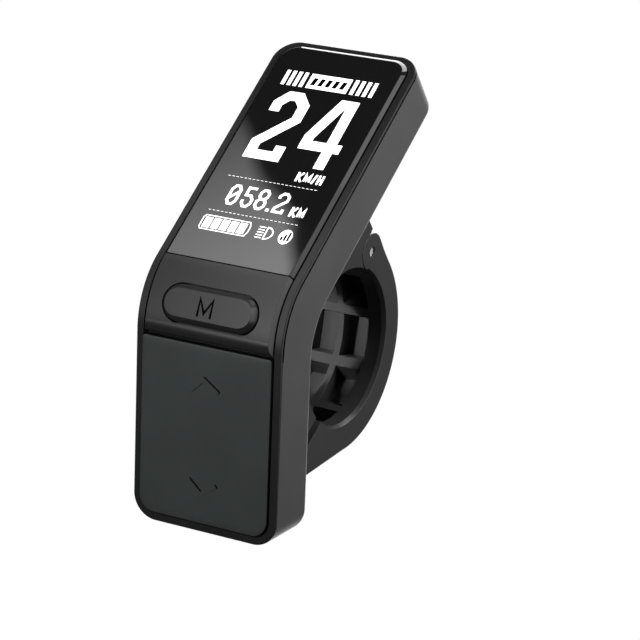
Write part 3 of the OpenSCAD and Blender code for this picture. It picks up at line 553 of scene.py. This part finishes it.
# Lens, with the bright chamfer along its top and sides. Levels are (inset, depth) from below.
LENS_S0 = BEND_END + 0.1
LENS_S1 = 63.75
LENS_CORNER = 3.9
LENS_LOW_CORNER = 0.25
TOP_CHAMFER = 1.35
LENS_SHARP = 35
LENS_LEVELS = [(0, 0.6), (0, -0.02), (0.02, -0.08), (LENS_CHAMFER - 0.13, -FACE_RISE + 0.215),
               (LENS_CHAMFER - 0.06, -FACE_RISE + 0.11), (LENS_CHAMFER + 0.01, -FACE_RISE + 0.035),
               (LENS_CHAMFER + 0.1, -FACE_RISE), (LENS_CHAMFER + 0.2, -FACE_RISE)]


def lens_outline(inset):
    """The lens's outline, with the wider chamfer at its top."""
    top = min(inset, LENS_CHAMFER) * TOP_CHAMFER / LENS_CHAMFER + max(0, inset - LENS_CHAMFER)
    half = LENS_HALF - SIDE_LINE - inset
    return rounded_outline(-half, half, LENS_S0, LENS_S1 - top, LENS_LOW_CORNER, LENS_CORNER - inset)


lens = stack("lens_dressed", lens_outline, LENS_LEVELS, upper, LOOKS["gloss_black"],
             "housing", sharp=LENS_SHARP)
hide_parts("display_lens")

# Mode button, a tapered pill with a small rounding round its face, and its flange
MODE_HALF = 10.32
MODE_H = 7.15
MODE_TAPER = 0.8
MODE_FACE = -FACE_RISE - 1.2
MODE_BACK = 2.35
MODE_SHARP = 28
MODE_LEVELS = [(0, MODE_BACK), (0, -FACE_RISE + 0.1), (0.04, -FACE_RISE - 0.05),
               (MODE_TAPER - 0.06, MODE_FACE + 0.12), (MODE_TAPER, MODE_FACE + 0.04),
               (MODE_TAPER + 0.1, MODE_FACE), (MODE_TAPER + 0.2, MODE_FACE)]
FLANGE_HALF = 8.0
FLANGE_H = 8.9
FLANGE_FRONT = 1.45


def mode_outline(inset):
    """The mode button's outline."""
    half, up = MODE_HALF - inset, MODE_H / 2 - inset
    return rounded_outline(-half, half, -up, up, up, up)


mode_button = stack("mode_button_dressed", mode_outline, MODE_LEVELS, on_mode, LOOKS["mode_gloss"],
                    "mode_button", sharp=MODE_SHARP)
flange = block(-FLANGE_HALF, -FLANGE_H / 2, FLANGE_HALF, FLANGE_H / 2)
marks("mode_button_flange", [flange], on_mode, MODE_BACK, FLANGE_FRONT, LOOKS["mode_gloss"],
      "mode_button")
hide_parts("mode_button")

# Rocker key with soft edges, and the lugs and posts under it
ROCKER_CORNER = 3.3
ROCKER_TOP_CORNER = 0.6
ROCKER_MID = (ROCKER_Z0 + ROCKER_Z1) / 2
ROCKER_EDGE = -0.58
ROCKER_BACK = 0.7
ROCKER_SIDE_END = 0.8
ROCKER_SHARP = 60
ROCKER_LEVELS = [(0, ROCKER_EDGE), (0.05, -0.66), (0.15, -0.71), (0.4, -0.75), (1.2, -ROCKER_FACE),
                 (1.4, -ROCKER_FACE)]
ROCKER_ARM = 11.5
POST_R = 1.2
POST_END = 2.15
LUG_X = 8.2
LUG_HALF_W, LUG_HALF_H = 1, 1.4
LUG_END = 3.6


def rocker_outline(inset):
    """The rocker key's outline."""
    half = ROCKER_HALF - inset
    return rounded_outline(-half, half, ROCKER_Z0 + inset, ROCKER_Z1 - inset, ROCKER_CORNER - inset,
                           ROCKER_TOP_CORNER)


rocker = stack("rocker_dressed", rocker_outline, ROCKER_LEVELS, lower, LOOKS["key_grey"],
               "rocker", bottom=False, sharp=ROCKER_SHARP)
# Painted shade: the key's sides, the same moulding as its face, coloured near black where they stand
# in shadow
stack("rocker_painted_side_shade", rocker_outline, [(0, ROCKER_SIDE_END), (0, ROCKER_EDGE)], lower,
      LOOKS["painted_shade_black"], "rocker", top=False)
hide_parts("rocker_key")
lugs = [block(side * LUG_X - LUG_HALF_W, ROCKER_MID - LUG_HALF_H,
              side * LUG_X + LUG_HALF_W, ROCKER_MID + LUG_HALF_H) for side in (-1, 1)]
marks("rocker_lugs", lugs, lower, LUG_END, ROCKER_BACK, LOOKS["key_grey"], "rocker")
posts = [disc(0, ROCKER_MID + side * ROCKER_ARM, POST_R, POST_R) for side in (-1, 1)]
marks("rocker_posts", posts, lower, POST_END, ROCKER_BACK, LOOKS["key_grey"], "rocker")

# Raised chevrons, and painted shade lines beside their edges that face up and to the right
MARK_SINK = 0.05
MARK_RISE = 0.012
CHEVRON_T = 0.14
CHEVRON_W = 0.8
CHEVRON_UP = [(-3.2, 28.2), (-0.3, 30.9), (3.0, 28.6)]
CHEVRON_DOWN = [(-3.2, 10.5), (-0.4, 8.0), (3.0, 10.2)]
SHADE_X, SHADE_Z = 0.27, 0.15
chevrons = stroke(CHEVRON_UP, CHEVRON_W) + stroke(CHEVRON_DOWN, CHEVRON_W)
marks("rocker_chevrons", chevrons, lower, -ROCKER_FACE + MARK_SINK, -ROCKER_FACE - CHEVRON_T,
      LOOKS["key_grey"], "rocker")
# Painted shade: dark copies of the chevrons, shifted up and right, where their sides stand in shadow
chevron_shade_lines = [[(x + SHADE_X, z + SHADE_Z) for x, z in piece] for piece in chevrons]
marks("rocker_shade_lines", chevron_shade_lines, lower, -ROCKER_FACE + MARK_SINK, -ROCKER_FACE - MARK_RISE,
      DARK_PRINT_AND_SHADE, "rocker")

# Letter on the mode button
LETTER_X, LETTER_T0 = -2.0, -2.1
LETTER_W, LETTER_H = 3.3, 3.6
LETTER_STROKE = 0.5
letter = glyph("M", LETTER_X, LETTER_T0, LETTER_W, LETTER_H, LETTER_STROKE)
marks("mode_letter", letter, on_mode, MODE_FACE + MARK_SINK, MODE_FACE - MARK_RISE, DARK_PRINT_AND_SHADE,
      "mode_button")

# Level bars on the screen, and the box between them
FACE_LOW = -FACE_RISE + 0.02
FACE_TOP = -FACE_RISE - MARK_RISE
BAR_W = 0.8
BAR_Z0, BAR_Z1 = 52.6, 56.4
BARS = 4
BAR_ROWS = ((-10.25, 1.36), (5.2, 1.41))
BOX = (-4.6, BAR_Z0, 4.5, BAR_Z1 - 0.05)
shown = []
for n in range(BARS):
    for start, step in BAR_ROWS:
        shown.append(block(start + step * n, BAR_Z0, start + step * n + BAR_W, BAR_Z1))
shown.append(block(*BOX))

# Speed, distance and units: rows of signs (sign, across, width), with place up, height and stroke
TEXT_ROWS = [
    ([("2", -9.5, 8.05)], 33.6, 17.55, 2.25),
    ([("4", 0.9, 8.95)], 33.5, 17.45, 2.25),
    ([("K", 4.0, 1.5), ("M", 5.65, 1.6), ("/", 7.45, 0.9), ("H", 8.6, 1.25)], 30.0, 2.1, 0.46),
    ([("K", 6.7, 1.5), ("M", 8.3, 1.6)], 21.6, 2.2, 0.48),
    ([("0", -7.8, 2.5), ("5", -4.5, 2.5), ("8", -1.5, 2.5), ("2", 2.8, 2.5)], 21.7, 5.1, 0.6),
]
POINT = (1.5, 21.75, 2.2, 22.45)
for signs, z, h, t in TEXT_ROWS:
    for sign, x, w in signs:
        shown += glyph(sign, x, z, w, h, t)
shown.append(block(*POINT))

# Dashed lines
DASHES = 22
DASH_X, DASH_STEP = -10, 0.91
DASH_W, DASH_H = 0.55, 0.09
DASH_ROWS = (28.55, 19.85)
for n in range(DASHES):
    x = DASH_X + DASH_STEP * n
    for z in DASH_ROWS:
        shown.append(block(x, z, x + DASH_W, z + DASH_H))

# Charge, headlight lamp and round lamp
CELLS = 5
CELL_X, CELL_STEP, CELL_W = -9.55, 1.92, 1.62
CELL_Z0, CELL_Z1 = 15.58, 18.15
BATTERY_T = 0.24
BEAMS = 5
BEAM_X0, BEAM_X1 = 2.35, 3.75
BEAM_Z, BEAM_STEP, BEAM_H = 15.42, 0.63, 0.24
LAMP_X, LAMP_Z, LAMP_W, LAMP_H = 4.2, 16.8, 1.5, 1.4
LAMP_STEP = 15
LAMP_T = 0.28
ROUND_LAMP = (8.55, 16.75, 1.4, 1.75)
battery = [(-9.7, 15.2), (0.1, 15.2), (0.5, 16.2), (0.5, 17.6), (0.1, 18.55), (-9.7, 18.55),
           (-10.05, 18.0), (-10.05, 15.75)]
shown += stroke(battery, BATTERY_T, closed=True)
for n in range(CELLS):
    x = CELL_X + CELL_STEP * n
    shown.append(block(x, CELL_Z0, x + CELL_W, CELL_Z1))
for n in range(BEAMS):
    z = BEAM_Z + BEAM_STEP * n
    shown.append(block(BEAM_X0, z, BEAM_X1, z + BEAM_H))
turns = [math.radians(turn_deg) for turn_deg in range(LAMP_STEP, 180, LAMP_STEP)]
bow = [(LAMP_X + LAMP_W * math.sin(a), LAMP_Z - LAMP_H * math.cos(a)) for a in turns]
headlight = [(LAMP_X, LAMP_Z - LAMP_H)] + bow + [(LAMP_X, LAMP_Z + LAMP_H)]
shown += stroke(headlight, LAMP_T, closed=True)
shown.append(disc(*ROUND_LAMP))
marks("screen_light", shown, upper, FACE_LOW, FACE_TOP, WHITE_PRINT, "housing")

# Dark marks on the box and on the round lamp
SLANTS = 5
SLANT_X, SLANT_STEP, SLANT_W = -3.95, 1.62, 0.95
SLANT_LEAN = 0.3
SLANT_Z0, SLANT_Z1 = 53.45, 55.35
STEPS = 3
STEP_X, STEP_GO, STEP_W = 7.65, 0.7, 0.45
STEP_Z, STEP_H, STEP_GROW = 15.8, 0.9, 0.6
DARK_SINK, DARK_RISE = 0.005, 0.008
dark = []
for n in range(SLANTS):
    x = SLANT_X + SLANT_STEP * n
    dark.append([(x, SLANT_Z0), (x + SLANT_W, SLANT_Z0), (x + SLANT_W + SLANT_LEAN, SLANT_Z1),
                 (x + SLANT_LEAN, SLANT_Z1)])
for n in range(STEPS):
    x = STEP_X + STEP_GO * n
    dark.append(block(x, STEP_Z, x + STEP_W, STEP_Z + STEP_H + STEP_GROW * n))
marks("screen_dark", dark, upper, FACE_TOP + DARK_SINK, FACE_TOP - DARK_RISE, DARK_PRINT_AND_SHADE,
      "housing")

# Camera at the photograph's place, with its focal length and its centre in pixels
PICTURE_PX = 640
FOCAL_PX = 2748.2
CENTRE_PX = (329.52, 323.05)
SENSOR = 36
CAMERA_TURN = math.radians(29.1)
CAMERA_LIFT = math.radians(16.79)
ROLL = math.radians(-2.31)
LOOK = Vector((0, -34.88, 15.88)) * MM
OFF_RIGHT, OFF_DOWN, OFF_BACK = 22.37, 4.11, 511.4
BACK = Vector((math.sin(CAMERA_TURN) * math.cos(CAMERA_LIFT),
               -math.cos(CAMERA_TURN) * math.cos(CAMERA_LIFT),
               math.sin(CAMERA_LIFT)))
RIGHT = Vector((math.cos(CAMERA_TURN), math.sin(CAMERA_TURN), 0))
UP = BACK.cross(RIGHT)
right = RIGHT * math.cos(ROLL) - UP * math.sin(ROLL)
up = RIGHT * math.sin(ROLL) + UP * math.cos(ROLL)
CAMERA_AT = LOOK + (right * OFF_RIGHT - up * OFF_DOWN + BACK * OFF_BACK) * MM
camera_data = bpy.data.cameras.new("camera")
camera = bpy.data.objects.new("camera", camera_data)
bpy.context.scene.collection.objects.link(camera)
turn = Matrix((right, up, BACK)).transposed().to_4x4()
camera.matrix_world = Matrix.Translation(CAMERA_AT) @ turn
camera_data.sensor_width = SENSOR
camera_data.lens = FOCAL_PX / PICTURE_PX * SENSOR
camera_data.shift_x = -(CENTRE_PX[0] - PICTURE_PX / 2) / PICTURE_PX
camera_data.shift_y = (CENTRE_PX[1] - PICTURE_PX / 2) / PICTURE_PX
bpy.context.scene.camera = camera


def graded(tree, where, direction, places, levels):
    """Brightness that goes from one level to another between two places along a direction."""
    dot = tree.nodes.new("ShaderNodeVectorMath")
    dot.operation = "DOT_PRODUCT"
    dot.inputs[1].default_value = direction
    tree.links.new(where, dot.inputs[0])
    level = tree.nodes.new("ShaderNodeMapRange")
    for name, value in zip(("From Min", "From Max", "To Min", "To Max"), (*places, *levels)):
        level.inputs[name].default_value = value
    tree.links.new(dot.outputs["Value"], level.inputs["Value"])
    return level


# World: plain white for the camera, and for all else a dim room with a glow behind the object
BRIGHT_WAY = Vector((0.5, 0.8, -0.33)).normalized()
ROOM_PLACES, ROOM_LEVELS = (-0.2, 1.0), (0.06, 0.165)
GLOW_PLACES, GLOW_LEVELS = (0.76, 0.95), (0.0, 2.6)
world = bpy.data.worlds.new("studio")
bpy.context.scene.world = world
world.use_nodes = True
nodes, links = world.node_tree.nodes, world.node_tree.links
nodes.clear()
out = nodes.new("ShaderNodeOutputWorld")
path = nodes.new("ShaderNodeLightPath")
seen = nodes.new("ShaderNodeBackground")
seen.inputs["Color"].default_value = (1, 1, 1, 1)
room = nodes.new("ShaderNodeBackground")
way = nodes.new("ShaderNodeTexCoord").outputs["Generated"]
both = nodes.new("ShaderNodeMath")
both.operation = "ADD"
parts = ((BRIGHT_WAY, ROOM_PLACES, ROOM_LEVELS), (-BACK, GLOW_PLACES, GLOW_LEVELS))
for term, (direction, places, levels) in zip(both.inputs, parts):
    level = graded(world.node_tree, way, direction, places, levels)
    level.interpolation_type = "SMOOTHSTEP"
    links.new(level.outputs["Result"], term)
links.new(both.outputs["Value"], room.inputs["Strength"])
mix = nodes.new("ShaderNodeMixShader")
links.new(path.outputs["Is Camera Ray"], mix.inputs["Fac"])
links.new(room.outputs["Background"], mix.inputs[1])
links.new(seen.outputs["Background"], mix.inputs[2])
links.new(mix.outputs["Shader"], out.inputs["Surface"])


def shine(name, data, at, to):
    """A light at one place that points at another, and is not mirrored itself."""
    obj = bpy.data.objects.new(name, data)
    bpy.context.scene.collection.objects.link(obj)
    obj.location = at
    obj.rotation_euler = (Vector(to) - Vector(at)).to_track_quat("-Z", "Y").to_euler()
    obj.visible_glossy = False


def lamp(name, at, to, size, power):
    """A square softbox."""
    data = bpy.data.lights.new(name, "AREA")
    data.shape = "RECTANGLE"
    data.size = data.size_y = size
    data.energy = power
    shine(name, data, at, to)


def card(name, faces, low, high, along):
    """Glowing cards that are only seen mirrored, and fade between two levels along a direction."""
    bm = bmesh.new()
    for face in faces:
        bm.faces.new([bm.verts.new(corner) for corner in face])
    mesh = bpy.data.meshes.new(name)
    bm.to_mesh(mesh)
    bm.free()
    material = bpy.data.materials.new(name)
    material.use_nodes = True
    tree = material.node_tree
    tree.nodes.clear()
    end = tree.nodes.new("ShaderNodeOutputMaterial")
    glow = tree.nodes.new("ShaderNodeEmission")
    where = tree.nodes.new("ShaderNodeTexCoord").outputs["Object"]
    direction = along.normalized()
    places = [Vector(corner).dot(direction) for face in faces for corner in face]
    fade = graded(tree, where, direction, (min(places), max(places)), (low, high))
    tree.links.new(fade.outputs["Result"], glow.inputs["Strength"])
    tree.links.new(glow.outputs["Emission"], end.inputs["Surface"])
    mesh.materials.append(material)
    obj = bpy.data.objects.new(name, mesh)
    bpy.context.scene.collection.objects.link(obj)
    obj.visible_camera = False
    obj.visible_diffuse = False
    obj.visible_shadow = False


ACROSS = Vector((1, 0, 0))
FACE_WAY = Vector((0, -math.cos(LEAN), math.sin(LEAN)))
LIMB_WAY = Vector((0, math.sin(LEAN), math.cos(LEAN)))


def bounced(at, normal, reach):
    """Where the camera's ray goes after a surface throws it back."""
    ray = (at - CAMERA_AT).normalized()
    return at + (ray - 2 * ray.dot(normal) * normal) * reach


def swept_card(name, rows, reach, low, high, along=ACROSS):
    """A card whose corners are where places with their normals throw the camera's ray."""
    lines = [[bounced(at, normal, reach) for at, normal in row] for row in rows]
    faces = [[a[0], a[1], b[1], b[0]] for a, b in zip(lines, lines[1:])]
    card(name, faces, low, high, along)


def tipped(front, outward, degrees):
    """A normal between the front and an outward direction."""
    return front * math.cos(math.radians(degrees)) + outward * math.sin(math.radians(degrees))


def fan(at, front, outward, tilt, spread):
    """One place with two normals, on both sides of a tilt."""
    return [(at, tipped(front, outward, tilt + side * spread)) for side in (-1, 1)]


# Cards that the lower left of the lens mirrors, the later ones fading out across its edge
LENS_REACH = 0.12
LENS_LEFT, LENS_LOW = -17, 7.5
LENS_GLOW = (1.0, 4.7)
FADES = 3
FADE_STEP = 0.8
FADE_WAY = (0.64, 0.77)
EDGE = [(LENS_LEFT, 45.5), (-10, 38.4), (-6.4, 32.6), (-2.3, 28.3), (1.8, 25.9), (4.9, 24.0),
        (8.5, 19.7), (10.3, 15.2), (12.8, 11.5), (14.5, LENS_LOW)]


def mirrored(x, s):
    """Where the lens face throws the camera's ray."""
    return bounced(upper(x, -FACE_RISE, s), FACE_WAY, LENS_REACH)


def fade_line(steps):
    """The reflection's edge on the lens, moved across by a number of steps."""
    away_x, away_s = [way * FADE_STEP * steps for way in FADE_WAY]
    return [mirrored(x + away_x, s + away_s) for x, s in EDGE]


lens_way = mirrored(12, 8) - mirrored(-14, 36)
card("lens_card", [fade_line(-FADES / 2) + [mirrored(LENS_LEFT, LENS_LOW)]], *LENS_GLOW, lens_way)
for n in range(FADES):
    inner, outer = fade_line(n - FADES / 2), fade_line(n + 1 - FADES / 2)
    strips = [[inner[i], inner[i + 1], outer[i + 1], outer[i]] for i in range(len(EDGE) - 1)]
    share = 1 - (n + 1) / (FADES + 1)
    card(f"lens_fade_{n}", strips, *[level * share for level in LENS_GLOW], lens_way)

# Cards that the lens's chamfer mirrors: its top, its corner and its right side
EDGE_REACH = 0.35
SIDE_TILT = 59.4
TOP_TILT = 34.6
CHAMFER_D = -0.5


def edge_card(name, turns, low, high, spread=12):
    """A card that the lens's chamfer mirrors, between two turns round its corner from the side."""
    rows = []
    for turn_deg in turns:
        a = math.radians(turn_deg)
        tilt = SIDE_TILT - (SIDE_TILT - TOP_TILT) * min(1, max(0, turn_deg / 90))
        at = upper(LENS_HALF - LENS_CORNER * (1 - math.cos(a)), CHAMFER_D,
                   LENS_S1 - LENS_CORNER * (1 - math.sin(a)))
        rows.append(fan(at, FACE_WAY, ACROSS * math.cos(a) + LIMB_WAY * math.sin(a), tilt, spread))
    swept_card(name, rows, EDGE_REACH, low, high)


edge_card("top_card", range(105, 49, -5), 5.5, 5.5)
edge_card("corner_card", range(50, 15, -4), 5.5, 6.0)
edge_card("side_card", [-2, -4, -6, -8, -12, -16], 2.3, 2.7, spread=22)


def round_bend(x, d, turn_deg):
    """A point and its normal on the bend, by the turn from straight ahead."""
    front = tipped(Vector((0, -1, 0)), Vector((0, 0, 1)), turn_deg)
    return Vector((x, BEND_Y, BEND_Z)) * MM + front * (BEND_R - d) * MM, front


# Cards that the bend mirrors: the edge of the panel, and the panel with its button
BEND_D = -0.4
BEND_SPREAD = 20
BEND_LEVEL = 1.75
bend_rows = []
for turn_deg in (51, 42, 32, 22, 12, 2):
    at, front = round_bend(LENS_HALF, BEND_D, turn_deg)
    bend_rows.append(fan(at, front, ACROSS, SIDE_TILT, BEND_SPREAD))
swept_card("bend_card", bend_rows, EDGE_REACH, BEND_LEVEL, BEND_LEVEL)
FRONT_REACH = 0.14
FRONT_SPAN = (-24, 60)
FRONT_WAY = Vector((1, 0, -0.17))
front_rows = [[round_bend(x, -FACE_RISE, turn_deg) for x in FRONT_SPAN]
              for turn_deg in (51.5, 43, 34, 25, 17, 9)]
swept_card("front_card", front_rows, FRONT_REACH, 0.0, 4.3, FRONT_WAY)

# Lamps, and a spot inside the bore that shows the ribs
MIDDLE = (0, -0.02, 0.01)
lamp("key", (0.3, 0.1, 0.28), MIDDLE, 0.15, 0.25)
lamp("front", (-0.15, -0.7, 0.2), MIDDLE, 0.4, 4.5)
lamp("side", (0.17, 0.03, 0.13), (0, -0.01, 0.03), 0.08, 0.36)
lamp("top", (0.1, 0.3, 0.65), MIDDLE, 0.35, 2.5)
spot_data = bpy.data.lights.new("ring_spot", "SPOT")
spot_data.energy = 0.1
spot_data.spot_size = math.radians(43)
spot_data.spot_blend = 0.25
spot_data.shadow_soft_size = 0.001
shine("ring_spot", spot_data, (-0.007, -0.010, 0.008), (-0.0045, 0.020, -0.006))

bpy.context.scene.view_settings.view_transform = "Standard"
